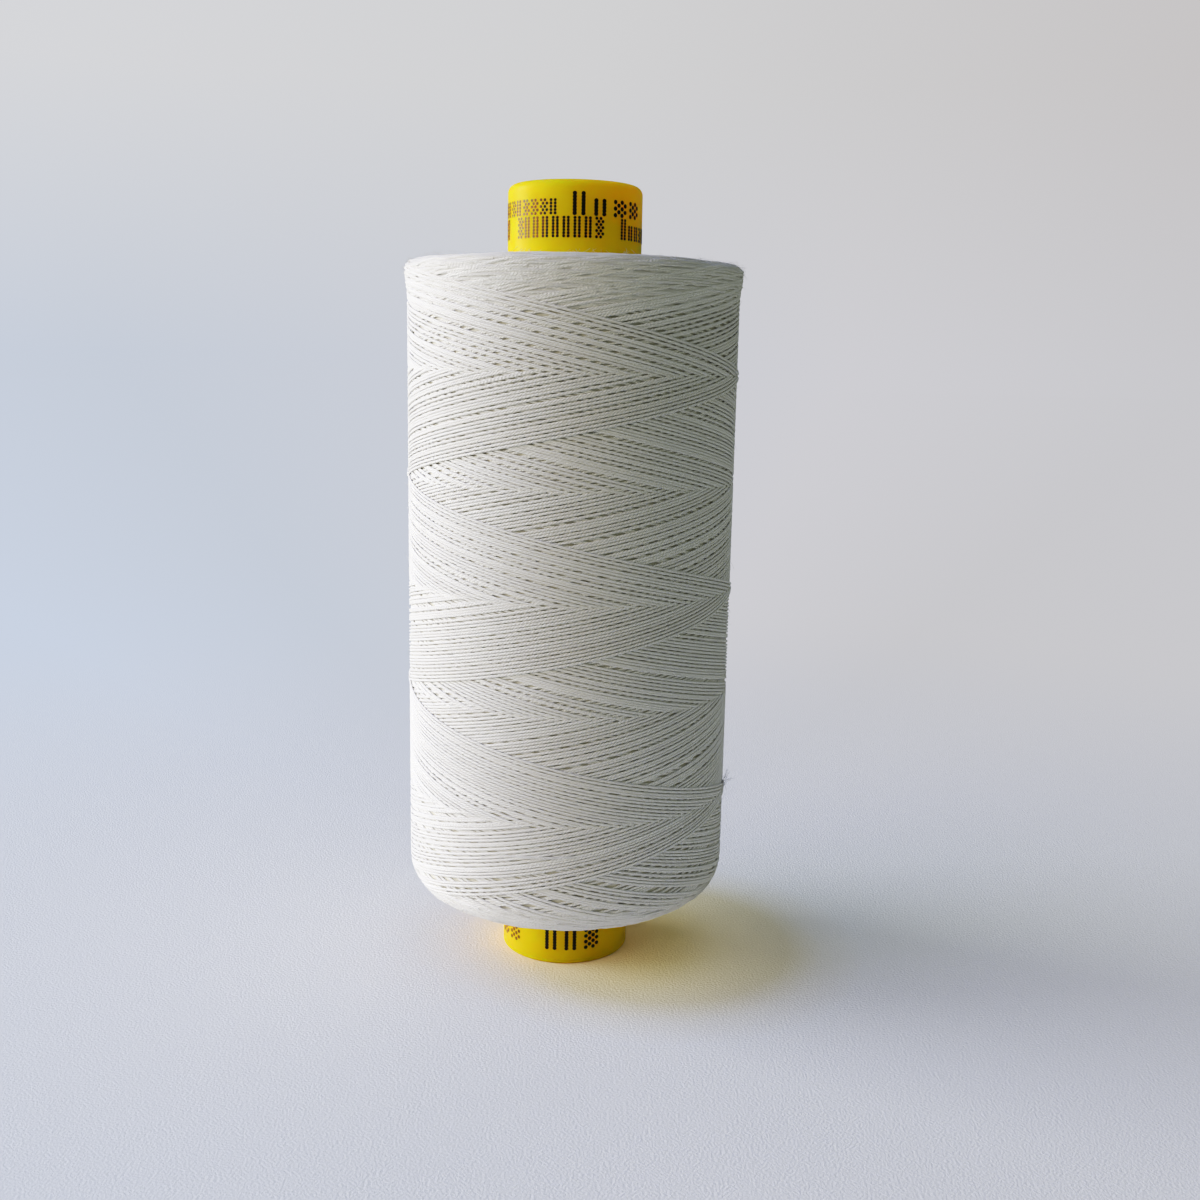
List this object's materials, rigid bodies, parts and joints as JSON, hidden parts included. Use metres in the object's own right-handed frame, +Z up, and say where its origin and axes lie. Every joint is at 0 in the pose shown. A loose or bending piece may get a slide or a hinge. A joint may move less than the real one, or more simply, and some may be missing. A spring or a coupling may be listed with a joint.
{
  "type": "spool of sewing thread",
  "caption": "Straight open plastic tube carrying one cross-wound cylindrical package of off-white sewing thread, standing on the tube's end.",
  "frame": {"origin": "centre of the tube's foot ring, on the surface that the spool stands on", "axes": "+Z up along the tube's axis; -Y towards the side that the picture shows"},
  "size_m": [0.0334, 0.0334, 0.0783],
  "materials": {
    "tube_plastic": "smooth yellow moulded plastic, satin gloss, with small dark dot-printed marks",
    "thread": "off-white twisted polyester sewing thread, cross-wound, matt with a faint sheen"
  },
  "bodies": {
    "root": {"tube": "tube_plastic", "winding": "thread"}
  },
  "joints": []
}
